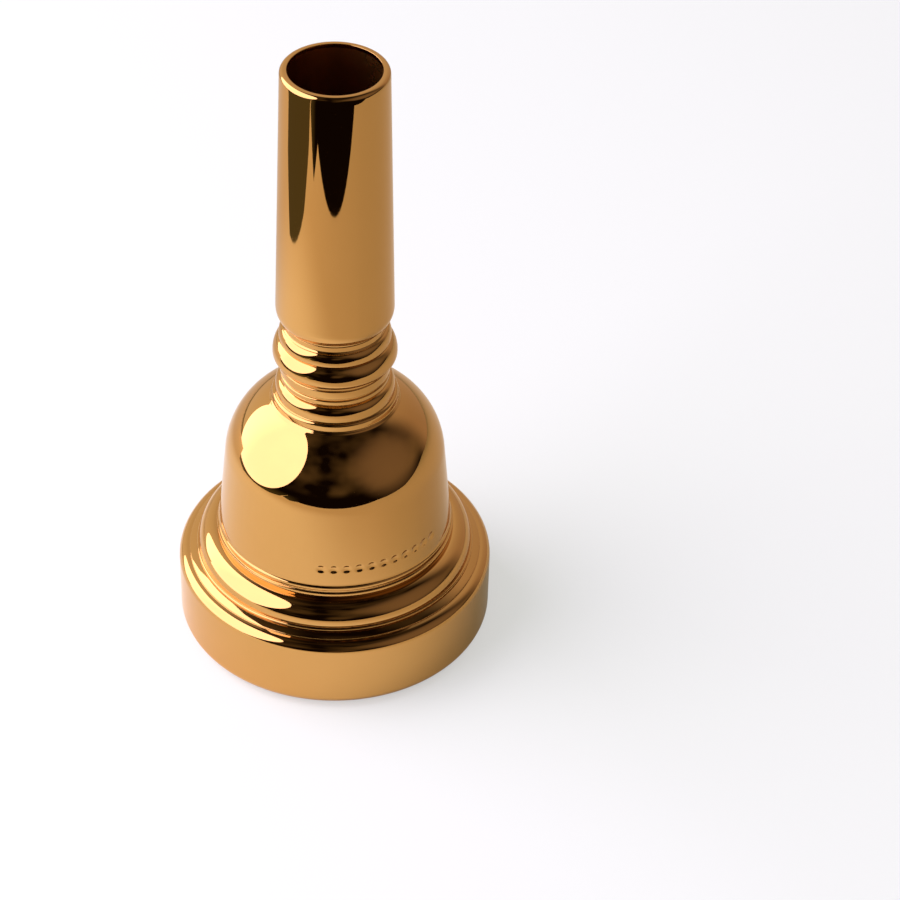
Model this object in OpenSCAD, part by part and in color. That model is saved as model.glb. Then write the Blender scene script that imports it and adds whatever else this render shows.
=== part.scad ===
// Sectional brass-instrument mouthpiece: rim, cup and shank, with two sealing rings.
// Millimetres. The rim's playing face is on Z = 0 and the shank points up +Z. Front is -Y.

/* [Overall] */

// height from the playing face to the end of the shank
length = 80.3; // [70:0.1:95]

/* [Rim] */

// outside diameter of the rim band
rim_od = 39.5; // [34:0.1:44]
// inside diameter at the bite of the rim
bite_id = 25.8; // [22:0.1:30]
// width of the nearly flat top of the playing face
face_flat = 1.1; // [0.4:0.1:3]
// axial depth of the outer rounding of the playing face
crown_out_h = 1.8; // [1:0.1:4]
// radial width of the outer rounding of the playing face
crown_out_w = 2.8; // [1:0.1:4]
// axial depth of the bite rounding
crown_in_h = 1.7; // [0.8:0.1:3]
// top of the straight band
band_top = 8.95; // [7:0.1:11]
// size of the rounded corner above the band
corner = 1.3; // [0.4:0.05:1.6]
// height of the fine step above the corner
land_step = 0.16; // [0.05:0.01:0.4]
// fall of the land between its two lines
land_rise = 0.33; // [0:0.01:0.8]

/* [Rim thread] */

// pitch of the right-hand rim thread
rim_pitch = 1.0; // [0.6:0.05:1.5]
// whole turns from seated to free
rim_turns = 4; // [3:1:5]
// major diameter of the cup's rim thread
rim_thread_d = 31.0; // [29:0.1:32]

/* [Cup outside] */

// outside diameter of the cup's first moulding line
flange_d = 35.0; // [33:0.1:37]
// height of the first fine riser on the shoulder
riser_1 = 0.25; // [0.1:0.05:0.6]
// height of the second fine riser on the shoulder
riser_2 = 0.15; // [0.1:0.05:0.8]
// step between the two risers
riser_in = 0.25; // [0.1:0.05:0.6]
// axial size of the rounded shoulder
shoulder_h = 2.55; // [1.5:0.1:3.5]
// radial size of the rounded shoulder
shoulder_w = 2.3; // [1.5:0.1:3.2]
// outside diameter of the cup wall at its foot
wall_foot_d = 29.0; // [27:0.1:30]
// outside diameter of the cup wall where the dome starts
wall_top_d = 27.16; // [25:0.1:29]
// height where the dome starts
dome_start = 25.84; // [22:0.1:30]
// radius of the dome's arc
dome_r = 10.18; // [8:0.1:13]

/* [Neck] */

// outside diameter of the wider ring at the root of the neck
root_ring_d = 15.4; // [13:0.1:17]
// outside diameter of the ring above it
ring_c_d = 14.6; // [13:0.1:16]
// outside diameter of the plain neck
neck_d = 13.0; // [12:0.1:14]
// outside diameter of the two fine neck bands
neck_band_d = 13.36; // [12.4:0.1:14.4]
// outside diameter of the lower lobe of the double bead
bead_low_d = 15.1; // [13.6:0.1:16]
// outside diameter of the upper lobe of the double bead
bead_high_d = 13.6; // [13.4:0.1:16]
// diameter at the crease between the lobes
crease_d = 13.4; // [13:0.1:15]

/* [Cup bowl and throat] */

// depth of the bowl from the playing face to the throat
bowl_depth = 34.0; // [28:0.1:36]
// diameter of the throat
throat_d = 7.1; // [6:0.05:8]

/* [Shank] */

// outside diameter of the shank at its tip
tip_d = 12.6; // [12:0.05:13.2]
// taper on diameter, as one in this many
taper = 20; // [18:0.5:24]
// height of the seam between cup and shank
seam_z = 45.8; // [44:0.1:48]
// height where the tapered part starts
taper_start = 47.9; // [47.2:0.1:50]
// inside diameter of the backbore at the tip
tip_bore_d = 10.9; // [9:0.1:11.4]
// edge rounding at the tip
tip_edge = 0.5; // [0.1:0.05:0.6]

/* [Shank thread] */

// pitch of the right-hand shank thread
shank_pitch = 0.75; // [0.5:0.05:1]
// whole turns from seated to free
shank_turns = 5; // [3:1:5]
// major diameter of the shank's spigot thread
shank_thread_d = 10.4; // [10:0.1:11]

/* [Sealing rings] */

// section of the rim's sealing ring
rim_ring_section = 1.0; // [0.8:0.05:1.2]
// section of the shank's sealing ring
shank_ring_section = 0.9; // [0.7:0.05:1]

/* [Fits] */

// radial clearance of each thread
thread_fit = 0.08; // [0.05:0.01:0.1]
// clearance around each sealing ring
ring_fit = 0.02; // [0.01:0.01:0.05]
// gap at the seated faces
seat_gap = 0.05; // [0.02:0.01:0.1]
// gap at the inner ends of the spigots
end_gap = 0.1; // [0.05:0.01:0.2]

/* [Punched row] */

// number of punch marks on the cup wall
marks = 11; // [3:1:15]
// diameter of the punch's ball end
mark_ball = 2.6; // [1.5:0.1:4]
// depth of a punch mark
mark_depth = 0.14; // [0.05:0.01:0.3]
// angle between punch marks
mark_pitch = 6.3; // [5:0.1:10]
// angle of the first mark from the front
mark_start = -7; // [-40:1:40]
// height of the row
mark_z = 18.1; // [17:0.1:22]

/* [Hidden] */
$fn = 120;
// points along each arc of a turned profile
arc_n = 8;
// points along one turn of a thread
turn_n = 60;
rim_r = rim_od / 2;
bite_r = bite_id / 2;
face_in_r = rim_r - crown_out_w - face_flat;
corner_r = rim_r - corner;
corner_z = band_top + corner;
land_z = corner_z + land_step;
seat_z = land_z + land_rise;
flange_r = flange_d / 2;
flange_z = seat_z + seat_gap;
// rim thread, cut from the cup's spigot and the rim's socket
rt_r = rim_thread_d / 2;
rt_h = 0.55 * rim_pitch;
rt_minor = rt_r - rt_h;
rt_z0 = seat_z - rim_ring_section - 0.55 * max(1, rim_pitch) - rim_turns * rim_pitch;
rim_floor = rt_z0 - 0.6 * rim_pitch;
spigot_z = rim_floor + end_gap;
rr_s = rim_ring_section / 2;
rr_mean = rt_r - 0.08;
rr_z = flange_z - 0.1 - rr_s;
rim_groove_z = rr_z - rr_s - 0.08;
rim_gland_z = min(rt_z0 + rim_turns * rim_pitch + 0.4, rim_groove_z - 0.02);
// shank thread, cut from the shank's spigot and the cup's socket
st_r = shank_thread_d / 2;
st_h = 0.55 * shank_pitch;
st_minor = st_r - st_h;
shank_face_z = seam_z + seat_gap;
st_z0 = seam_z - shank_ring_section - 1.25 - shank_turns * shank_pitch;
socket_floor = st_z0 - 0.8 * shank_pitch;
shank_foot_z = socket_floor + end_gap;
sr_s = shank_ring_section / 2;
sr_mean = st_r - 0.1;
sr_z = shank_face_z - 0.12 - sr_s;
shank_groove_z = sr_z - sr_s - 0.08;
shank_gland_z = shank_groove_z - 0.1;
// dome and shoulder
wall_foot_z = flange_z + riser_1 + 0.15 + riser_2 + shoulder_h + 2.1;
wall_slope = atan((wall_foot_d - wall_top_d) / 2 / (dome_start - wall_foot_z));
dome_cz = dome_start - dome_r * sin(wall_slope);
dome_cr = wall_top_d / 2 - dome_r * cos(wall_slope);
root_r = root_ring_d / 2;
dome_end_r = root_r + 0.28;
dome_end_a = acos((dome_end_r - dome_cr) / dome_r);
dome_end_z = dome_cz + dome_r * sin(dome_end_a);
tip_r = tip_d / 2;
shank_r = tip_r + (length - taper_start) / taper / 2;
seam_r = 6.1;
throat_r = throat_d / 2;

// quarter-ellipse points between two angles, as [radius, height]
function arc(cr, cz, wr, wz, a0, a1, n = arc_n) =
    [for (i = [0:n]) let (a = a0 + (a1 - a0) * i / n) [cr + wr * cos(a), cz + wz * sin(a)]];

// bowl wall radius at a height
function bowl_r(z) = let (t = (z - crown_in_h) / (bowl_depth - crown_in_h))
    throat_r + (bite_r - throat_r) * pow(max(0, 1 - pow(t, 2.1)), 0.8);

// backbore radius at a height
function bore_r(z) = let (t = (z - shank_foot_z) / (length - shank_foot_z))
    throat_r + 0.05 + (tip_bore_d / 2 - throat_r - 0.05) * pow(t, 0.9);

function at(a, r, z) = [r * cos(a), r * sin(a), z];

// one thread ridge of right hand, faded out at both ends
module ridge(root, crest, z0, pitch, turns, w_root, w_crest) {
  n = turn_n * turns;
  fade = 12;
  pts = [for (i = [0:n]) let (
      a = i * 360 / turn_n,
      z = z0 + pitch * i / turn_n,
      k = min(1, min(i, n - i) / fade),
      rc = root + (crest - root) * (0.25 + 0.75 * k))
      each [at(a, root, z - w_root / 2), at(a, rc, z - w_crest / 2),
            at(a, rc, z + w_crest / 2), at(a, root, z + w_root / 2)]];
  sides = [for (i = [0:n - 1]) each [for (j = [0:3]) each [
      [4 * i + j, 4 * i + (j + 1) % 4, 4 * (i + 1) + (j + 1) % 4],
      [4 * i + j, 4 * (i + 1) + (j + 1) % 4, 4 * (i + 1) + j]]]];
  ends = [[3, 2, 1, 0], [4 * n, 4 * n + 1, 4 * n + 2, 4 * n + 3]];
  faces = concat(sides, ends);
  flipped = [for (f = faces) [for (q = [len(f) - 1:-1:0]) f[q]]];
  polyhedron(points = pts, faces = crest > root ? faces : flipped);
}

// outer ridge on a spigot
module male_thread(r, h, z0, pitch, turns) {
  ridge(r - h - 0.1, r, z0, pitch, turns, 0.13 * pitch + 1.155 * (h + 0.1), 0.13 * pitch);
}

// inner ridge in a socket, half a pitch away from the outer one
module female_thread(r, h, z0, pitch, turns) {
  ridge(r + thread_fit + 0.1, r + thread_fit - h, z0 - pitch / 2, pitch, turns + 0.5,
      0.13 * pitch + 1.155 * (h + 0.1), 0.13 * pitch);
}

// playing rim: crowned face, straight band, stepped land and threaded socket
module rim() color("#D9A441") {
  bore_top = [for (i = [0:4]) let (z = rim_floor + (crown_in_h - rim_floor) * i / 4) [bowl_r(z), z]];
  rotate_extrude() polygon(concat(
      arc(rim_r - crown_out_w, crown_out_h, crown_out_w, crown_out_h, -90, 0),
      arc(corner_r, band_top, corner, corner, 0, 78),
      [[corner_r - 0.06, corner_z],
       [corner_r - 0.06, land_z],
       [flange_r, seat_z],
       [rr_mean + rr_s + ring_fit + 0.15, seat_z],
       [rr_mean + rr_s + ring_fit, seat_z - 0.15],
       [rr_mean + rr_s + ring_fit, rim_gland_z],
       [rt_r + thread_fit, rim_gland_z - 0.3],
       [rt_r + thread_fit, rim_floor]],
      bore_top,
      arc(face_in_r, crown_in_h, -(face_in_r - bite_r), -crown_in_h, 12, 90)));
  female_thread(rt_r, rt_h, rt_z0, rim_pitch, rim_turns);
}

// cup: shoulder mouldings, bell-shaped wall, neck rings, bowl, throat and both threads
module cup() color("#D9A441") {
  z1 = flange_z + riser_1;
  z2 = z1 + 0.15;
  z3 = z2 + riser_2;
  z4 = z3 + shoulder_h;
  r2 = flange_r - riser_in;
  r4 = r2 - shoulder_w;
  bowl = [for (i = [0:24]) let (z = bowl_depth - (bowl_depth - spigot_z) * i / 24) [bowl_r(z), z]];
  difference() {
    union() {
      rotate_extrude() polygon(concat(
          [[bowl_r(spigot_z), spigot_z],
           [rt_minor - 0.2, spigot_z],
           [rt_minor, spigot_z + 0.2],
           [rt_minor, rim_groove_z],
           [rr_mean - rr_s - ring_fit, rim_groove_z],
           [rr_mean - rr_s - ring_fit, flange_z],
           [flange_r, flange_z]],
          arc(flange_r - 0.2, z1 - 0.05, 0.2, 0.2, 0, 80, 4),
          [[r2, z2]],
          arc(r4, z3, shoulder_w, shoulder_h, 0, 84),
          arc(r4 - 0.12, z4 + 0.35, 0.1, 0.45, -60, 80, 5),
          [[r4 - 0.28, z4 + 0.82],
           [r4 - 0.28, z4 + 1.15]],
          arc(wall_foot_d / 2 + 0.35, wall_foot_z, -0.35, -0.7, 65, 0, 5),
          arc(dome_cr, dome_cz, dome_r, dome_r, wall_slope, dome_end_a, 16),
          arc(dome_end_r + 0.02, dome_end_z + 0.42, -0.3, -0.3, 70, 0, 4),
          [[root_r, dome_end_z + 0.85]],
          arc(root_r - 0.36, dome_end_z + 0.95, 0.36, 0.4, 0, 85, 5),
          [[ring_c_d / 2, dome_end_z + 1.4],
           [ring_c_d / 2, dome_end_z + 1.9]],
          arc(neck_d / 2 + 0.1, dome_end_z + 1.9, ring_c_d / 2 - neck_d / 2 - 0.1, 1.4, 0, 80, 6),
          [[neck_d / 2, dome_end_z + 3.36],
           [neck_d / 2, dome_end_z + 3.5],
           [neck_band_d / 2, dome_end_z + 3.55]],
          arc(neck_band_d / 2 - 0.16, dome_end_z + 4.0, 0.16, 0.18, 0, 85, 3),
          [[neck_d / 2, dome_end_z + 4.22],
           [neck_d / 2, dome_end_z + 4.42],
           [neck_band_d / 2, dome_end_z + 4.47]],
          arc(neck_band_d / 2 - 0.16, dome_end_z + 5.45, 0.16, 0.18, 0, 85, 3),
          [[neck_d / 2, dome_end_z + 5.66]],
          arc(neck_d / 2 + 0.3, dome_end_z + 5.9, -0.3, 0.25, 0, 75, 4),
          arc(crease_d / 2 - 0.4, dome_end_z + 7.1, bead_low_d / 2 - crease_d / 2 + 0.4, 1.05, -60, 0, 5),
          arc(crease_d / 2 - 0.4, dome_end_z + 7.1, bead_low_d / 2 - crease_d / 2 + 0.4, 2.15, 8, 68, 7),
          arc(seam_r + 0.1, dome_end_z + 9.5, bead_high_d / 2 - seam_r - 0.1, 0.5, -45, 0, 4),
          arc(seam_r + 0.1, dome_end_z + 9.5, bead_high_d / 2 - seam_r - 0.1, 1.4, 10, 84, 7),
          [[seam_r, dome_end_z + 11.1]],
          [[seam_r, seam_z],
           [sr_mean + sr_s + ring_fit + 0.12, seam_z],
           [sr_mean + sr_s + ring_fit, seam_z - 0.12],
           [sr_mean + sr_s + ring_fit, shank_gland_z],
           [st_r + thread_fit, shank_gland_z - 0.25],
           [st_r + thread_fit, socket_floor],
           [throat_r, socket_floor]],
          bowl));
      male_thread(rt_r, rt_h, rt_z0, rim_pitch, rim_turns);
      female_thread(st_r, st_h, st_z0, shank_pitch, shank_turns);
    }
    wall_r = wall_top_d / 2 + (dome_start - mark_z) * tan(wall_slope);
    for (i = [0:marks - 1]) {
      rotate([0, 0, -90 + mark_start + i * mark_pitch])
        translate([wall_r + mark_ball / 2 - mark_depth, 0, mark_z])
        sphere(d = mark_ball);
    }
  }
}

// shank: threaded spigot, rounded lower end, long taper and backbore
module shank() color("#D9A441") {
  bore = [for (i = [0:12]) let (z = length - (length - shank_foot_z) * i / 12) [bore_r(z), z]];
  rotate_extrude() polygon(concat(
      [[st_minor - 0.15, shank_foot_z],
       [st_minor, shank_foot_z + 0.15],
       [st_minor, shank_groove_z],
       [sr_mean - sr_s - ring_fit, shank_groove_z],
       [sr_mean - sr_s - ring_fit, shank_face_z],
       [seam_r, shank_face_z],
       [seam_r + 0.02, shank_face_z + 0.25]],
      arc(seam_r + 0.02, taper_start, shank_r - seam_r - 0.02, taper_start - shank_face_z - 0.35, -82, 0),
      arc(tip_r - tip_edge, length - tip_edge, tip_edge, tip_edge, 0, 90, 5),
      bore));
  male_thread(st_r, st_h, st_z0, shank_pitch, shank_turns);
}

// black sealing ring of the rim joint
module rim_o_ring() color("#161616") {
  translate([0, 0, rr_z]) rotate_extrude() translate([rr_mean, 0]) circle(r = rr_s, $fn = 32);
}

// black sealing ring of the shank joint
module shank_o_ring() color("#161616") {
  translate([0, 0, sr_z]) rotate_extrude() translate([sr_mean, 0]) circle(r = sr_s, $fn = 32);
}

rim();
cup();
shank();
rim_o_ring();
shank_o_ring();
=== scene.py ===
import math

import bmesh
import bpy
from mathutils import Euler, Matrix, Vector


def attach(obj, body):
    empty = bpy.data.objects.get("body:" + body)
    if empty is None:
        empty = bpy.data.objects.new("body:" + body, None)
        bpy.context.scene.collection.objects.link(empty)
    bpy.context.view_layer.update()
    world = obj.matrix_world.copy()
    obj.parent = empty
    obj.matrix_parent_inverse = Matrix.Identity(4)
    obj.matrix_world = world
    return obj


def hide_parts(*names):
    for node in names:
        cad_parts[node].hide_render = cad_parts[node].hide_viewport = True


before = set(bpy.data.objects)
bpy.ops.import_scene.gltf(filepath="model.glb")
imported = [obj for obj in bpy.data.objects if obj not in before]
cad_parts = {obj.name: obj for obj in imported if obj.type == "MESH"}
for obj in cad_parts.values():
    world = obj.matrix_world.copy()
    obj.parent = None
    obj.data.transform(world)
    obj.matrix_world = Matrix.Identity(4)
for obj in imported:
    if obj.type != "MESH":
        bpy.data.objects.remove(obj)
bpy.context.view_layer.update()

# ---------------------------------------------------------------------------------------------
# Camera and studio: a plain pale floor, one large soft box standing at the left, and a pale
# room. Metal mirrors a white card instead of the floor. It ends a hand's breadth in front of
# the object, so the metal shows the dark room past it, and painted shade darkens its white
# away from the base, a painted falloff of light.

MM = 0.001


def linear(code):
    """An sRGB hex colour as linear red, green, blue and alpha."""
    parts = [int(code[i:i + 2], 16) / 255 for i in (1, 3, 5)]
    return [c / 12.92 if c <= 0.04045 else ((c + 0.055) / 1.055) ** 2.4 for c in parts] + [1.0]


def add(tree, kind, inputs=(), **settings):
    """Adds one node with its settings; each input takes a value or another node's socket."""
    made = tree.nodes.new(kind)
    for key, value in settings.items():
        setattr(made, key, value)
    for where, what in dict(inputs).items():
        if isinstance(what, bpy.types.NodeSocket):
            tree.links.new(what, made.inputs[where])
        else:
            made.inputs[where].default_value = what
    return made


def new_material(name):
    """An empty node material and its output node."""
    made = bpy.data.materials.new(name)
    made.use_nodes = True
    made.node_tree.nodes.clear()
    return made, made.node_tree, made.node_tree.nodes.new("ShaderNodeOutputMaterial")


def link(name, mesh):
    """A new object in the scene."""
    made = bpy.data.objects.new(name, mesh)
    bpy.context.scene.collection.objects.link(made)
    return made


scene = bpy.context.scene
scene.view_settings.view_transform = "Standard"
scene.view_settings.look = "None"

lens = bpy.data.cameras.new("camera")
lens.sensor_width = 36
lens.lens = 113.83
lens.clip_start = 0.01
camera = link("camera", lens)
camera.location = (0, -272.99 * MM, 249.29 * MM)
camera.rotation_euler = Euler([math.radians(a) for a in (50.649, -1.463, -1.791)], "XYZ")
scene.camera = camera

# Matt white card, seen only in the metal: wood pulp board, slightly warm, with a faint felt-side
# mottle. The points at its front and left are stands that the metal sees as dark teeth.
# The card's painted light is full within card_lit of card_lit_at and gives way to painted shade by the last
# distance.
card_lit_at, card_lit, card_painted_shade_from = (-35, -5), 36, 85
card_outline = [(1200, 1200), (-1200, 1200), (-1200, 420), (-116, 34), (-97, 12), (-96, -52),
                (-103, -80), (-150, -150), (-154, -158), (-108, -93), (-80, -90), (-74, -110),
                (92, -113), (150, -60), (1200, 200)]
card_mesh = bpy.data.meshes.new("card")
card_mesh.from_pydata([(x * MM, y * MM, 0) for x, y in card_outline], [],
                      [range(len(card_outline))[::-1]])
card = link("card", card_mesh)
card_matt, tree, out = new_material("matt_white_card")
coords = add(tree, "ShaderNodeTexCoord")
mottle = add(tree, "ShaderNodeTexNoise", {"Vector": coords.outputs["Object"], "Scale": 260.0,
                                          "Detail": 3.0})
tone = add(tree, "ShaderNodeMix", {"Factor": mottle.outputs["Fac"], "A": linear("#F3EBDF"),
                                   "B": linear("#F5EEE3")}, data_type="RGBA")
# Painted shade: the card's white is mixed towards a dull beige with distance from a point near the base.
# This painted falloff of light darkens the card that the metal mirrors.
away = add(tree, "ShaderNodeVectorMath", {
    0: coords.outputs["Object"], 1: (card_lit_at[0] * MM, card_lit_at[1] * MM, 0)}, operation="DISTANCE")
painted_falloff = add(tree, "ShaderNodeMapRange", {"Value": away.outputs["Value"], "From Min": card_lit * MM,
                                        "From Max": card_painted_shade_from * MM}, interpolation_type="SMOOTHSTEP")
card_tone_in_painted_shade = add(tree, "ShaderNodeMix", {"Factor": painted_falloff.outputs[0], "A": tone.outputs["Result"],
                                    "B": linear("#D3C3AB")}, data_type="RGBA")
matt = add(tree, "ShaderNodeBsdfDiffuse", {"Color": card_tone_in_painted_shade.outputs["Result"]})
tree.links.new(matt.outputs[0], out.inputs[0])
card_mesh.materials.append(card_matt)
card.visible_camera = card.visible_diffuse = card.visible_shadow = False

# Plain pale floor just under the card: a grey board with a painted glow, an even white emission that
# whitens it and lifts its shadows; no lamp lights it from below.
floor_half, floor_drop = 4.0, 0.03 * MM
floor_mesh = bpy.data.meshes.new("floor")
floor_mesh.from_pydata([(x * floor_half, y * floor_half, -floor_drop)
                        for x, y in ((-1, -1), (1, -1), (1, 1), (-1, 1))], [], [(0, 1, 2, 3)])
floor = link("floor", floor_mesh)
floor_matt, tree, out = new_material("pale_floor")
board = add(tree, "ShaderNodeBsdfDiffuse", {"Color": linear("#B4B4B4")})
# Painted glow: an even white emission added to the floor, which is no lamp, so it whitens and its shadows
# lift.
glow = add(tree, "ShaderNodeEmission", {"Color": linear("#FFFFFF"), "Strength": 0.5})
board_with_painted_glow = add(tree, "ShaderNodeAddShader", {0: board.outputs[0], 1: glow.outputs[0]})
tree.links.new(board_with_painted_glow.outputs[0], out.inputs[0])
floor_mesh.materials.append(floor_matt)
floor.visible_glossy = False

# Soft box: standing upright on the left, from table height up, turned square to the object.
box_far = 0.4
soft = bpy.data.lights.new("soft_box", "AREA")
soft.shape = "ELLIPSE"
soft.size, soft.size_y = 2.34 * box_far, 2.7 * box_far
soft.energy = 7.7
soft.color = linear("#F2E6FF")[:3]
soft_box = link("soft_box", soft)
soft_box.location = (-box_far, -0.07 * box_far, 1.15 * box_far)
soft_box.rotation_euler = Euler((math.radians(90), 0, math.radians(-90)), "XYZ")

# A small soft lamp over the left of the table lifts the card there. The metal doesn't mirror it.
lamp = bpy.data.lights.new("table_lamp", "AREA")
lamp.shape = "DISK"
lamp.size = 0.22
lamp.energy = 0.34
lamp.color = linear("#FAFFF0")[:3]
table_lamp = link("table_lamp", lamp)
table_lamp.location = (-0.26, -0.02, 0.3)
aimed = Vector((-0.1, 0.0, 0.0)) - table_lamp.location
table_lamp.rotation_euler = aimed.to_track_quat("-Z", "Y").to_euler()
table_lamp.visible_glossy = False

# Room: pale walls where the eye looks past the floor. Polished metal sees a dim brown room
# instead, with a paler wall at the right, a sheet of pale paper hung behind, brighter at its
# left, and an olive drape low at the left.
world = bpy.data.worlds.new("room")
scene.world = world
world.use_nodes = True
tree = world.node_tree
tree.nodes.clear()
path = add(tree, "ShaderNodeLightPath")
toward = add(tree, "ShaderNodeTexCoord").outputs["Generated"]
axis = add(tree, "ShaderNodeSeparateXYZ", {0: toward}).outputs
clutter = add(tree, "ShaderNodeTexNoise", {"Vector": toward, "Scale": 1.7, "Detail": 2.0})
lit = add(tree, "ShaderNodeMapRange", {"Value": clutter.outputs["Fac"], "From Min": 0.4, "From Max": 0.8})
above = add(tree, "ShaderNodeMapRange", {"Value": axis["Z"], "From Min": -0.02, "From Max": 0.12})
clear = add(tree, "ShaderNodeMath", {0: lit.outputs[0], 1: above.outputs[0]}, operation="MULTIPLY")
dim = add(tree, "ShaderNodeMix", {"Factor": clear.outputs[0], "A": linear("#120A06"),
                                  "B": linear("#70604E")}, data_type="RGBA")
side_way = Vector((0.80, -0.40, 0.45)).normalized()
near_side = add(tree, "ShaderNodeVectorMath", {0: toward, 1: tuple(side_way)}, operation="DOT_PRODUCT")
side = add(tree, "ShaderNodeMapRange", {"Value": near_side.outputs["Value"], "From Min": 0.7,
                                        "From Max": 1.0, "To Max": 0.9}, interpolation_type="SMOOTHSTEP")
walled = add(tree, "ShaderNodeMix", {"Factor": side.outputs[0], "A": dim.outputs["Result"],
                                     "B": linear("#8A766A")}, data_type="RGBA")
rightward = add(tree, "ShaderNodeMapRange", {"Value": axis["X"], "From Min": -0.7, "From Max": 0.8})
paper = add(tree, "ShaderNodeMix", {"Factor": rightward.outputs[0], "A": linear("#F4E4D4"),
                                    "B": linear("#B49A8A")}, data_type="RGBA")
behind = add(tree, "ShaderNodeMapRange", {"Value": axis["Y"], "From Min": 0.1, "From Max": 0.55},
             interpolation_type="SMOOTHSTEP")
under_top = add(tree, "ShaderNodeMapRange", {"Value": axis["Z"], "From Min": 0.95, "From Max": 0.7},
                interpolation_type="SMOOTHSTEP")
hung = add(tree, "ShaderNodeMath", {0: behind.outputs[0], 1: under_top.outputs[0]}, operation="MULTIPLY")
papered = add(tree, "ShaderNodeMix", {"Factor": hung.outputs[0], "A": walled.outputs["Result"],
                                      "B": paper.outputs["Result"]}, data_type="RGBA")
leftward = add(tree, "ShaderNodeMapRange", {"Value": axis["X"], "From Min": -0.55, "From Max": -0.7})
below = add(tree, "ShaderNodeMapRange", {"Value": axis["Z"], "From Min": -0.1, "From Max": -0.3})
standing = add(tree, "ShaderNodeMath", {0: leftward.outputs[0], 1: below.outputs[0]}, operation="MULTIPLY")
room = add(tree, "ShaderNodeMix", {"Factor": standing.outputs[0], "A": papered.outputs["Result"],
                                   "B": linear("#5C5640")}, data_type="RGBA")
pale = add(tree, "ShaderNodeBackground", {"Color": linear("#F4F8EC"), "Strength": 0.46})
seen = add(tree, "ShaderNodeBackground", {"Color": linear("#F8F5F1"), "Strength": 0.95})
dark = add(tree, "ShaderNodeBackground", {"Color": room.outputs["Result"], "Strength": 1.0})
shiny = add(tree, "ShaderNodeMixShader", {"Fac": path.outputs["Is Glossy Ray"], 1: pale.outputs[0],
                                          2: dark.outputs[0]})
whole = add(tree, "ShaderNodeMixShader", {"Fac": path.outputs["Is Camera Ray"], 1: shiny.outputs[0],
                                          2: seen.outputs[0]})
add(tree, "ShaderNodeOutputWorld", {"Surface": whole.outputs[0]})

# ---------------------------------------------------------------------------------------------
# Rim: the player's end, on which the object stands. Brass turned on a lathe, threaded inside,
# then buffed to a mirror and gold plated, so its edges are softened by the buffing wheel.


def arc(cr, cz, wr, wz, a0, a1, n=20):
    """Points of part of an ellipse, as (radius, height) in millimetres."""
    turns = [math.radians(a0 + (a1 - a0) * i / n) for i in range(n + 1)]
    return [(cr + wr * math.cos(a), cz + wz * math.sin(a)) for a in turns]


def buffed(points, ease=0.06, step=0.5):
    """A closed section with its sharp corners eased by buffing and its long runs divided."""
    points = [Vector(p) for p in points]
    soft_run = []
    for i, here in enumerate(points):
        back, ahead = points[i - 1] - here, points[(i + 1) % len(points)] - here
        bend = math.pi - back.angle(ahead, math.pi)
        reach = min(ease, 0.42 * back.length, 0.42 * ahead.length)
        if bend < math.radians(20):
            soft_run.append(here)
            continue
        start, end = here + back.normalized() * reach, here + ahead.normalized() * reach
        soft_run += [start * (1 - t) ** 2 + here * 2 * t * (1 - t) + end * t * t
                     for t in (0, 0.25, 0.5, 0.75, 1)]
    run = []
    for i, here in enumerate(soft_run):
        ahead = soft_run[(i + 1) % len(soft_run)]
        parts = max(1, math.ceil((ahead - here).length / step))
        run += [here.lerp(ahead, k / parts) for k in range(parts)]
    thinned = [p for i, p in enumerate(run) if (p - run[i - 1]).length > 0.011]
    return thinned + [thinned[0]]


def tree_inputs(tree, names):
    """Declares a tree's named inputs and gives back its input node."""
    kinds = {int: "NodeSocketInt", float: "NodeSocketFloat"}
    for name, start in names.items():
        kind = start if isinstance(start, str) else kinds[type(start)]
        made = tree.interface.new_socket(name, in_out="INPUT", socket_type=kind)
        if not isinstance(start, str):
            made.default_value = start
    tree.interface.new_socket("Geometry", in_out="OUTPUT", socket_type="NodeSocketGeometry")
    return tree.nodes.new("NodeGroupInput")


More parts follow.
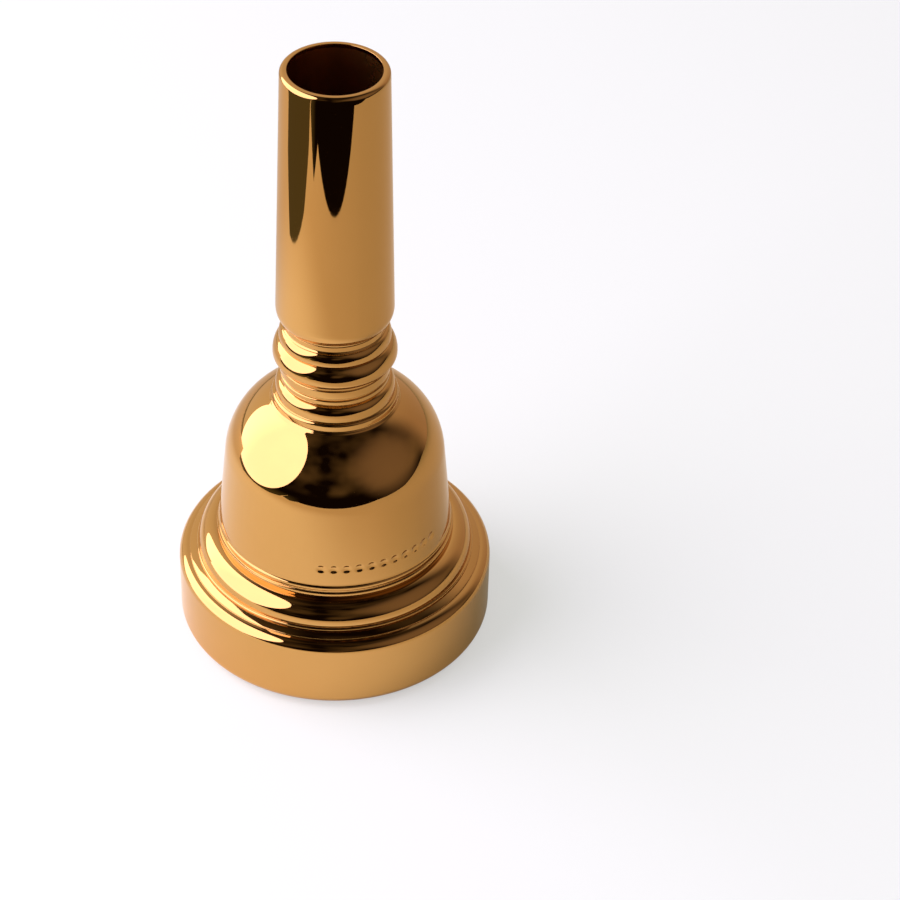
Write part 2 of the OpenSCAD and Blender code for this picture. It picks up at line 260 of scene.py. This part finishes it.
def lathe_tree():
    """Turns a section about Z. A pitch makes it climb as a thread; balls punch a row of marks."""
    tree = bpy.data.node_groups.new("lathe", "GeometryNodeTree")
    given = tree_inputs(tree, {
        "Section": "NodeSocketGeometry", "Steps": 240, "Turns": 1.0, "Pitch": 0.0, "Fade": 0.0,
        "Fine Start": 0.0, "Fine End": 180.0, "Fine Share": 0.5, "Inside Row": 100000,
        "Marks": 0, "Mark Height": 0.0, "Mark Start": 0.0, "Mark Pitch": 6.0, "Mark Depth": 0.0,
        "Mark Ball": 0.002, "Outside Finish": "NodeSocketMaterial",
        "Inside Finish": "NodeSocketMaterial"}).outputs

    def sum_of(kind, a, b=None, c=None):
        wanted = {k: v for k, v in enumerate((a, b, c)) if v is not None}
        return add(tree, "ShaderNodeMath", wanted, operation=kind).outputs[0]

    size = add(tree, "GeometryNodeAttributeDomainSize", {"Geometry": given["Section"]})
    rows = size.outputs["Point Count"]
    grid = add(tree, "GeometryNodeMeshGrid", {"Vertices X": sum_of("ADD", given["Steps"], 1.0),
                                              "Vertices Y": rows})
    index = add(tree, "GeometryNodeInputIndex").outputs[0]
    row = sum_of("FLOORED_MODULO", index, rows)
    along = sum_of("DIVIDE", sum_of("FLOOR", sum_of("DIVIDE", sum_of("ADD", index, 0.5), rows)),
                   given["Steps"])
    place = add(tree, "GeometryNodeInputPosition").outputs[0]
    sample = add(tree, "GeometryNodeSampleIndex", {"Geometry": given["Section"], "Value": place,
                                                   "Index": row}, data_type="FLOAT_VECTOR")
    point = add(tree, "ShaderNodeSeparateXYZ", {0: sample.outputs[0]}).outputs
    # the turn is divided finely between the two fine angles and coarsely over the rest
    fine = add(tree, "ShaderNodeMapRange", {"Value": along, "From Max": given["Fine Share"],
                                            "To Min": given["Fine Start"], "To Max": given["Fine End"]})
    rest_of_turn = sum_of("SUBTRACT", sum_of("ADD", given["Fine Start"],
                                             sum_of("MULTIPLY", given["Turns"], 360.0)), given["Fine End"])
    coarse = add(tree, "ShaderNodeMapRange", {"Value": along, "From Min": given["Fine Share"],
                                              "To Max": rest_of_turn})
    degrees = sum_of("ADD", fine.outputs[0], coarse.outputs[0])
    angle = sum_of("RADIANS", degrees)
    climb = sum_of("MULTIPLY", given["Pitch"], sum_of("DIVIDE", degrees, 360.0))
    # both ends of a thread fade to nothing
    end_near = sum_of("MINIMUM", along, sum_of("SUBTRACT", 1.0, along))
    fade = sum_of("MINIMUM", 1.0, sum_of("DIVIDE", end_near, sum_of("MAXIMUM", given["Fade"], 1e-6)))
    fade = sum_of("MAXIMUM", fade, sum_of("LESS_THAN", given["Fade"], 1e-6))
    # distance to the nearest mark, over the surface
    first, pitch = given["Mark Start"], given["Mark Pitch"]
    nearest = sum_of("ROUND", sum_of("DIVIDE", sum_of("SUBTRACT", degrees, first), pitch))
    last = sum_of("SUBTRACT", given["Marks"], 1.0)
    nearest = sum_of("MINIMUM", sum_of("MAXIMUM", nearest, 0.0), sum_of("MAXIMUM", last, 0.0))
    off = sum_of("SUBTRACT", degrees, sum_of("MULTIPLY_ADD", nearest, pitch, first))
    across = sum_of("MULTIPLY", sum_of("RADIANS", off), point["X"])
    upward = sum_of("SUBTRACT", point["Z"], given["Mark Height"])
    apart = sum_of("ADD", sum_of("POWER", across, 2.0), sum_of("POWER", upward, 2.0))
    ball = sum_of("MULTIPLY", given["Mark Ball"], 0.5)
    reach = sum_of("SQRT", sum_of("MAXIMUM", sum_of("SUBTRACT", sum_of("POWER", ball, 2.0), apart), 0.0))
    dent = sum_of("SUBTRACT", reach, sum_of("SUBTRACT", ball, given["Mark Depth"]))
    dent = sum_of("MAXIMUM", dent, 0.0)
    punched = sum_of("MULTIPLY", sum_of("LESS_THAN", row, given["Inside Row"]),
                     sum_of("GREATER_THAN", given["Marks"], 0.5))
    radius = sum_of("SUBTRACT", point["X"], sum_of("MULTIPLY", dent, punched))
    # Y of a section point is the radius that a faded thread shrinks to
    radius = sum_of("ADD", sum_of("MULTIPLY", sum_of("SUBTRACT", radius, point["Y"]), fade), point["Y"])
    rise = sum_of("ADD", sum_of("MULTIPLY", point["Z"], fade), climb)
    moved = add(tree, "ShaderNodeCombineXYZ", {
        "X": sum_of("MULTIPLY", radius, sum_of("COSINE", angle)),
        "Y": sum_of("MULTIPLY", radius, sum_of("SINE", angle)), "Z": rise}).outputs[0]
    turned = add(tree, "GeometryNodeSetPosition", {"Geometry": grid.outputs["Mesh"], "Position": moved})
    # a face's index counts one row fewer than a point's
    face_row = sum_of("FLOORED_MODULO", index, sum_of("SUBTRACT", rows, 1.0))
    marked = add(tree, "GeometryNodeStoreNamedAttribute", {
        "Geometry": turned.outputs[0], "Name": "row", "Value": face_row}, data_type="FLOAT", domain="FACE")
    joined = add(tree, "GeometryNodeMergeByDistance", {"Geometry": marked.outputs[0], "Distance": 2e-7})
    smooth = add(tree, "GeometryNodeSetShadeSmooth", {"Geometry": joined.outputs[0]})
    real = add(tree, "GeometryNodeRealizeInstances", {"Geometry": smooth.outputs[0]})
    outer = add(tree, "GeometryNodeSetMaterial", {"Geometry": real.outputs[0],
                                                  "Material": given["Outside Finish"]})
    stored = add(tree, "GeometryNodeInputNamedAttribute", {"Name": "row"}, data_type="FLOAT")
    inward = sum_of("GREATER_THAN", stored.outputs[0], given["Inside Row"])
    inner = add(tree, "GeometryNodeSetMaterial", {"Geometry": outer.outputs[0], "Selection": inward,
                                                  "Material": given["Inside Finish"]})
    add(tree, "NodeGroupOutput", {"Geometry": inner.outputs[0]})
    return tree


lathe = lathe_tree()


def turn(name, section, **values):
    """A section put through the lathe tree, as a plain mesh object."""
    mesh = bpy.data.meshes.new(name + "_section")
    mesh.from_pydata([(p[0] * MM, (p[2] if len(p) > 2 else 0.0) * MM, p[1] * MM) for p in section], [], [])
    worked = link(name, mesh)
    modifier = worked.modifiers.new("lathe", "NODES")
    modifier.node_group = lathe
    sockets = {s.name: s.identifier for s in lathe.interface.items_tree if s.in_out == "INPUT"}
    for key, value in values.items():
        modifier[sockets[key.replace("_", " ")]] = value
    return settle(worked)


def settle(worked):
    """Turns an object's modifiers into a plain mesh whose faces point outwards."""
    graph = bpy.context.evaluated_depsgraph_get()
    graph.update()
    done = bpy.data.meshes.new_from_object(worked.evaluated_get(graph))
    worked.modifiers.clear()
    worked.data = done
    finishes = list(done.materials)
    kept = [f for f in finishes if f]
    numbers = [kept.index(finishes[face.material_index]) for face in done.polygons]
    done.materials.clear()
    for finish in kept:
        done.materials.append(finish)
    done.polygons.foreach_set("material_index", numbers)
    shell = bmesh.new()
    shell.from_mesh(done)
    bmesh.ops.recalc_face_normals(shell, faces=shell.faces)
    for face in shell.faces:
        face.smooth = True
    for edge in shell.edges:
        edge.smooth = edge.calc_face_angle(0.0) < math.radians(38)
    shell.to_mesh(done)
    shell.free()
    return worked


def cut_thread(body, name, root, crest, start, pitch, turns, finish):
    """Adds a right-hand thread ridge to a turned body and joins the two into one solid."""
    # flanks 60 degrees apart spread 1.155 times the ridge's height
    top = 0.13 * pitch
    foot = top + 1.155 * abs(crest - root)
    section = [(root, start - foot / 2), (crest, start - top / 2), (crest, start + top / 2),
               (root, start + foot / 2), (root, start - foot / 2)]
    ridge = turn(name, [(r, z - start, root) for r, z in section], Steps=72 * math.ceil(turns),
                 Turns=turns, Pitch=pitch * MM, Fade=0.22 / turns, Fine_Start=0.0,
                 Fine_End=180.0 * turns, Outside_Finish=finish, Inside_Finish=finish)
    ridge.data.transform(Matrix.Translation((0, 0, start * MM)))
    union = body.modifiers.new("thread", "BOOLEAN")
    union.operation = "UNION"
    union.solver = "MANIFOLD"
    union.object = ridge
    settle(body)
    bpy.data.objects.remove(ridge)
    return body


def gold_finish(name, colour, rough, line_gap, line_depth, haze):
    """Gold plate over turned brass: rings left by the lathe or wheel, and a slightly uneven gloss."""
    made, tree, out = new_material(name)
    coords = add(tree, "ShaderNodeTexCoord")
    split = add(tree, "ShaderNodeSeparateXYZ", {0: coords.outputs["Object"]}).outputs
    flat = add(tree, "ShaderNodeCombineXYZ", {"X": split["X"], "Y": split["Y"]})
    radius = add(tree, "ShaderNodeVectorMath", {0: flat.outputs[0]}, operation="LENGTH")
    # rings: the pattern changes with radius and height, and only slowly around
    slow = add(tree, "ShaderNodeVectorMath", {0: flat.outputs[0], 1: (0.02, 0.02, 0)}, operation="MULTIPLY")
    ringed = add(tree, "ShaderNodeCombineXYZ", {"X": radius.outputs["Value"], "Z": split["Z"]})
    ringed = add(tree, "ShaderNodeVectorMath", {0: ringed.outputs[0], 1: slow.outputs[0]}, operation="ADD")
    lines = add(tree, "ShaderNodeTexNoise", {"Vector": ringed.outputs[0], "Scale": 1 / (line_gap * MM),
                                             "Detail": 2.0, "Roughness": 0.6})
    wiped = add(tree, "ShaderNodeTexNoise", {"Vector": coords.outputs["Object"], "Scale": 1 / (9 * MM),
                                             "Detail": 4.0, "Roughness": 0.55})
    gloss = add(tree, "ShaderNodeMapRange", {"Value": wiped.outputs["Fac"], "From Min": 0.35,
                                             "From Max": 0.7, "To Min": rough, "To Max": rough + haze})
    tone = add(tree, "ShaderNodeMix", {"Factor": wiped.outputs["Fac"], "A": linear(colour[0]),
                                       "B": linear(colour[1])}, data_type="RGBA")
    bump = add(tree, "ShaderNodeBump", {"Height": lines.outputs["Fac"], "Distance": line_depth * MM,
                                        "Strength": 1.0})
    metal = add(tree, "ShaderNodeBsdfPrincipled", {"Base Color": tone.outputs["Result"], "Metallic": 1.0,
                                                   "Roughness": gloss.outputs[0],
                                                   "Normal": bump.outputs[0]})
    tree.links.new(metal.outputs[0], out.inputs[0])
    return made


# Hard gold plate on buffed brass: deep yellow, mirror gloss, with rings of buffing too fine to
# count. Real buffing lines lie far closer; they are drawn 0.3 mm apart so that they show.
polished_gold = gold_finish("buffed_gold_plate", ("#D1A360", "#D5A866"), 0.018, 0.3, 0.00015, 0.022)
# The same plate over a surface left as the tool cut it, in the bore and on the threads.
cut_gold = gold_finish("gold_plate_as_cut", ("#C58A45", "#CB9049"), 0.2, 0.12, 0.0012, 0.08)

length = 80.3
rim_r, bite_r, throat_r = 39.5 / 2, 25.8 / 2, 7.1 / 2
crown_out_w, crown_out_h, face_flat, crown_in_h = 2.8, 1.8, 1.1, 1.7
band_top, corner, land_step, land_rise = 8.95, 1.3, 0.16, 0.33
bowl_depth, bowl_fall, bowl_round = 34.0, 2.1, 0.8
thread_share = 0.55
rim_pitch, rim_turns, rim_thread_r = 1.0, 4, 15.5
thread_fit, ring_fit, seat_gap, end_gap = 0.08, 0.02, 0.05, 0.1
rim_thread_h = thread_share * rim_pitch
face_in_r = rim_r - crown_out_w - face_flat
corner_r, corner_z = rim_r - corner, band_top + corner
land_z = corner_z + land_step
seat_z = land_z + land_rise
flange_r, flange_z = 17.5, seat_z + seat_gap
rim_ring_r, rim_ring_mean = 0.5, rim_thread_r - 0.08
rim_thread_z = seat_z - 2 * rim_ring_r - 0.55 * max(1, rim_pitch) - rim_turns * rim_pitch
rim_floor = rim_thread_z - 0.6 * rim_pitch
spigot_z = rim_floor + end_gap
rim_gland_z = rim_thread_z + rim_turns * rim_pitch + 0.4
rim_ring_z = flange_z - 0.1 - rim_ring_r
rim_groove_z = rim_ring_z - rim_ring_r - 0.08


def bowl_r(z):
    """Radius of the bowl wall at a height."""
    t = (z - crown_in_h) / (bowl_depth - crown_in_h)
    return throat_r + (bite_r - throat_r) * max(0.0, 1 - max(0.0, t) ** bowl_fall) ** bowl_round


rim_outside = arc(rim_r - crown_out_w, crown_out_h, crown_out_w, crown_out_h, -90, 0, 30)
rim_outside += arc(corner_r, band_top, corner, corner, 0, 78, 20)
rim_outside += [(corner_r - 0.06, corner_z), (corner_r - 0.06, land_z), (flange_r, seat_z)]
gland_r = rim_ring_mean + rim_ring_r + ring_fit
rim_socket = [(gland_r + 0.15, seat_z), (gland_r, seat_z - 0.15), (gland_r, rim_gland_z),
              (rim_thread_r + thread_fit, rim_gland_z - 0.3), (rim_thread_r + thread_fit, rim_floor)]
rim_bore_z = [rim_floor + (crown_in_h - rim_floor) * i / 8 for i in range(9)]
rim_bore = [(bowl_r(z), z) for z in rim_bore_z]
rim_face = arc(face_in_r, crown_in_h, bite_r - face_in_r, -crown_in_h, 6, 90, 26)
rim = turn("gold_rim", buffed(rim_outside + rim_socket + rim_bore + rim_face), Steps=256,
           Outside_Finish=polished_gold, Inside_Finish=polished_gold)
cut_thread(rim, "rim_socket_thread", rim_thread_r + thread_fit + 0.1,
           rim_thread_r + thread_fit - rim_thread_h, rim_thread_z - rim_pitch / 2, rim_pitch,
           rim_turns + 0.5, cut_gold)
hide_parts("rim")
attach(rim, "rim")

# ---------------------------------------------------------------------------------------------
# Cup: the bell-shaped middle, turned from brass bar in one piece with its shoulder, its neck
# rings and the spigot that screws into the rim. A row of round marks is punched by hand.

wall_foot_r, wall_top_r, dome_start, dome_r = 14.5, 13.58, 25.84, 10.18
riser_1, tread, riser_2, riser_in, shoulder_h, shoulder_w = 0.25, 0.15, 0.15, 0.25, 2.55, 2.3
neck_r, neck_band_r, root_r, ring_c_r = 6.5, 6.68, 7.7, 7.3
bead_low_r, bead_high_r, crease_r, seam_r, seam_z = 7.55, 6.8, 6.7, 6.1, 45.8
shank_pitch, shank_turns, shank_thread_r = 0.75, 5, 5.2
shank_thread_h = thread_share * shank_pitch
shank_face_z = seam_z + seat_gap
shank_ring_r, shank_ring_mean = 0.45, shank_thread_r - 0.1
shank_thread_z = seam_z - 2 * shank_ring_r - 1.25 - shank_turns * shank_pitch
socket_floor = shank_thread_z - 0.8 * shank_pitch
shank_foot_z = socket_floor + end_gap
shank_ring_z = shank_face_z - 0.12 - shank_ring_r
shank_groove_z = shank_ring_z - shank_ring_r - 0.08
shank_gland_z = shank_groove_z - 0.1

z1 = flange_z + riser_1
z2 = z1 + tread
z3 = z2 + riser_2
z4 = z3 + shoulder_h
r2 = flange_r - riser_in
r4 = r2 - shoulder_w
wall_foot_z = z3 + shoulder_h + 2.1
wall_slope = math.atan((wall_foot_r - wall_top_r) / (dome_start - wall_foot_z))
dome_cz = dome_start - dome_r * math.sin(wall_slope)
dome_cr = wall_top_r - dome_r * math.cos(wall_slope)
dome_end_r = root_r + 0.28
dome_end_a = math.degrees(math.acos((dome_end_r - dome_cr) / dome_r))
neck_z = dome_cz + dome_r * math.sin(math.radians(dome_end_a))
# angles of the marks are in degrees about Z, and the front is at -90
marks, mark_z, mark_start, mark_pitch, mark_ball, mark_depth = 11, 18.1, -97.0, 6.3, 2.6, 0.14

cup_spigot = [(bowl_r(spigot_z), spigot_z), (rim_thread_r - rim_thread_h - 0.2, spigot_z),
              (rim_thread_r - rim_thread_h, spigot_z + 0.2),
              (rim_thread_r - rim_thread_h, rim_groove_z),
              (rim_ring_mean - rim_ring_r - ring_fit, rim_groove_z),
              (rim_ring_mean - rim_ring_r - ring_fit, flange_z), (flange_r, flange_z)]
cup_shoulder = arc(flange_r - 0.2, z1 - 0.05, 0.2, 0.2, 0, 80, 8)
cup_shoulder += [(r2, z2)]
cup_shoulder += arc(r4, z3, shoulder_w, shoulder_h, 0, 84, 22)
cup_shoulder += arc(r4 - 0.12, z4 + 0.35, 0.1, 0.45, -60, 80, 10)
cup_shoulder += [(r4 - 0.28, z4 + 0.82), (r4 - 0.28, z4 + 1.15)]
cup_shoulder += arc(wall_foot_r + 0.35, wall_foot_z, -0.35, -0.7, 65, 0, 10)
# the wall is divided finely where it is punched
slope_step = (wall_top_r - wall_foot_r) / (dome_start - wall_foot_z)
cup_wall = [(wall_foot_r + slope_step * (z - wall_foot_z), z)
            for z in (mark_z - 0.7 + 0.07 * i for i in range(21))]
cup_dome = arc(dome_cr, dome_cz, dome_r, dome_r, math.degrees(wall_slope), dome_end_a, 32)
half_low, half_high = bead_low_r - crease_r + 0.4, bead_high_r - seam_r - 0.1
cup_neck = arc(dome_end_r + 0.02, neck_z + 0.42, -0.3, -0.3, 70, 0, 8)
cup_neck += [(root_r, neck_z + 0.85)]
cup_neck += arc(root_r - 0.36, neck_z + 0.95, 0.36, 0.4, 0, 85, 10)
cup_neck += [(ring_c_r, neck_z + 1.4), (ring_c_r, neck_z + 1.9)]
cup_neck += arc(neck_r + 0.1, neck_z + 1.9, ring_c_r - neck_r - 0.1, 1.4, 0, 80, 12)
cup_neck += [(neck_r, neck_z + 3.36), (neck_r, neck_z + 3.5), (neck_band_r, neck_z + 3.55)]
cup_neck += arc(neck_band_r - 0.16, neck_z + 4.0, 0.16, 0.18, 0, 85, 6)
cup_neck += [(neck_r, neck_z + 4.22), (neck_r, neck_z + 4.42), (neck_band_r, neck_z + 4.47)]
cup_neck += arc(neck_band_r - 0.16, neck_z + 5.45, 0.16, 0.18, 0, 85, 6)
cup_neck += [(neck_r, neck_z + 5.66)]
cup_neck += arc(neck_r + 0.3, neck_z + 5.9, -0.3, 0.25, 0, 75, 8)
cup_neck += arc(crease_r - 0.4, neck_z + 7.1, half_low, 1.05, -60, 0, 10)
cup_neck += arc(crease_r - 0.4, neck_z + 7.1, half_low, 2.15, 8, 68, 14)
cup_neck += arc(seam_r + 0.1, neck_z + 9.5, half_high, 0.5, -45, 0, 8)
cup_neck += arc(seam_r + 0.1, neck_z + 9.5, half_high, 1.4, 10, 84, 14)
cup_neck += [(seam_r, neck_z + 11.1), (seam_r, seam_z)]
shank_gland_r = shank_ring_mean + shank_ring_r + ring_fit
cup_socket = [(shank_gland_r + 0.12, seam_z), (shank_gland_r, seam_z - 0.12),
              (shank_gland_r, shank_gland_z), (shank_thread_r + thread_fit, shank_gland_z - 0.25),
              (shank_thread_r + thread_fit, socket_floor), (throat_r, socket_floor)]
cup_bowl_z = [bowl_depth - (bowl_depth - spigot_z) * i / 30 for i in range(30)]
cup_bowl = [(bowl_r(z), z) for z in cup_bowl_z]
cup_outside = cup_shoulder + cup_wall + cup_dome + cup_neck
cup_section = buffed(cup_spigot + cup_outside + cup_socket + cup_bowl, step=0.9)
inside_from = max(i for i, p in enumerate(cup_section) if abs(p[1] - seam_z) < 0.01)
cup = turn("gold_cup", cup_section, Steps=216, Fine_Start=-101.0, Fine_End=-30.0, Fine_Share=0.48,
           Inside_Row=inside_from, Marks=marks, Mark_Height=mark_z * MM, Mark_Start=mark_start,
           Mark_Pitch=mark_pitch, Mark_Depth=mark_depth * MM, Mark_Ball=mark_ball * MM,
           Outside_Finish=polished_gold, Inside_Finish=polished_gold)
cut_thread(cup, "cup_spigot_thread", rim_thread_r - rim_thread_h - 0.1, rim_thread_r, rim_thread_z,
           rim_pitch, rim_turns, cut_gold)
cut_thread(cup, "cup_socket_thread", shank_thread_r + thread_fit + 0.1,
           shank_thread_r + thread_fit - shank_thread_h, shank_thread_z - shank_pitch / 2, shank_pitch,
           shank_turns + 0.5, cut_gold)
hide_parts("cup")
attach(cup, "cup")

# ---------------------------------------------------------------------------------------------
# Shank: the tapered tube that pushes into the instrument. Turned outside and buffed, reamed
# inside and left as reamed, so its bore is dull and dark behind a thin bright lip.

tip_r, taper, taper_start, tip_bore_r, tip_edge = 6.3, 20, 47.9, 5.45, 0.5
shank_r = tip_r + (length - taper_start) / taper / 2
shank_spigot = [(shank_thread_r - shank_thread_h - 0.15, shank_foot_z),
                (shank_thread_r - shank_thread_h, shank_foot_z + 0.15),
                (shank_thread_r - shank_thread_h, shank_groove_z),
                (shank_ring_mean - shank_ring_r - ring_fit, shank_groove_z),
                (shank_ring_mean - shank_ring_r - ring_fit, shank_face_z),
                (seam_r, shank_face_z), (seam_r + 0.02, shank_face_z + 0.25)]
shank_outside = arc(seam_r + 0.02, taper_start, shank_r - seam_r - 0.02,
                    taper_start - shank_face_z - 0.35, -82, 0, 24)
shank_outside += arc(tip_r - tip_edge, length - tip_edge, tip_edge, tip_edge, 0, 90, 12)
shank_bore = []
for i in range(25):
    t = 1 - i / 24
    shank_bore.append((throat_r + 0.05 + (tip_bore_r - throat_r - 0.05) * t ** 0.9,
                       shank_foot_z + (length - shank_foot_z) * t))
shank_section = buffed(shank_spigot + shank_outside + shank_bore)
bore_from = max(i for i, p in enumerate(shank_section) if p[1] > length - 0.25)
shank = turn("gold_shank", shank_section, Steps=256, Inside_Row=bore_from,
             Outside_Finish=polished_gold, Inside_Finish=cut_gold)
cut_thread(shank, "shank_spigot_thread", shank_thread_r - shank_thread_h - 0.1, shank_thread_r,
           shank_thread_z, shank_pitch, shank_turns, cut_gold)
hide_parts("shank")
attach(shank, "shank")

# ---------------------------------------------------------------------------------------------
# Two sealing rings: black nitrile rubber, moulded in a two-part mould, rolled over the spigots
# into their grooves. They hide inside the joints until the mouthpiece is unscrewed.

black_rubber, tree, out = new_material("moulded_nitrile_rubber")
coords = add(tree, "ShaderNodeTexCoord")
# the skin's grain is some 0.05 mm; bloom shows as paler, duller patches a few mm long
grain = add(tree, "ShaderNodeTexNoise", {"Vector": coords.outputs["Object"], "Scale": 1 / (0.06 * MM)})
bloom = add(tree, "ShaderNodeTexNoise", {"Vector": coords.outputs["Object"], "Scale": 1 / (3 * MM)})
tone = add(tree, "ShaderNodeMix", {"Factor": bloom.outputs["Fac"], "A": linear("#141414"),
                                   "B": linear("#26262A")}, data_type="RGBA")
dull = add(tree, "ShaderNodeMapRange", {"Value": bloom.outputs["Fac"], "To Min": 0.42, "To Max": 0.68})
skin = add(tree, "ShaderNodeBump", {"Height": grain.outputs["Fac"], "Distance": 0.004 * MM})
rubber = add(tree, "ShaderNodeBsdfPrincipled", {"Base Color": tone.outputs["Result"], "IOR": 1.52,
                                                "Roughness": dull.outputs[0], "Normal": skin.outputs[0]})
tree.links.new(rubber.outputs[0], out.inputs[0])

for name, node_name, body, mean, half, height in (
        ("rim_sealing_ring", "rim_o_ring", "rim_ring_carrier", rim_ring_mean, rim_ring_r,
         rim_ring_z),
        ("shank_sealing_ring", "shank_o_ring", "shank_ring_carrier", shank_ring_mean, shank_ring_r,
         shank_ring_z)):
    ring = turn(name, arc(mean, height, half, half, 0, 360, 32), Steps=192,
                Outside_Finish=black_rubber, Inside_Finish=black_rubber)
    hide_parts(node_name)
    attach(ring, body)
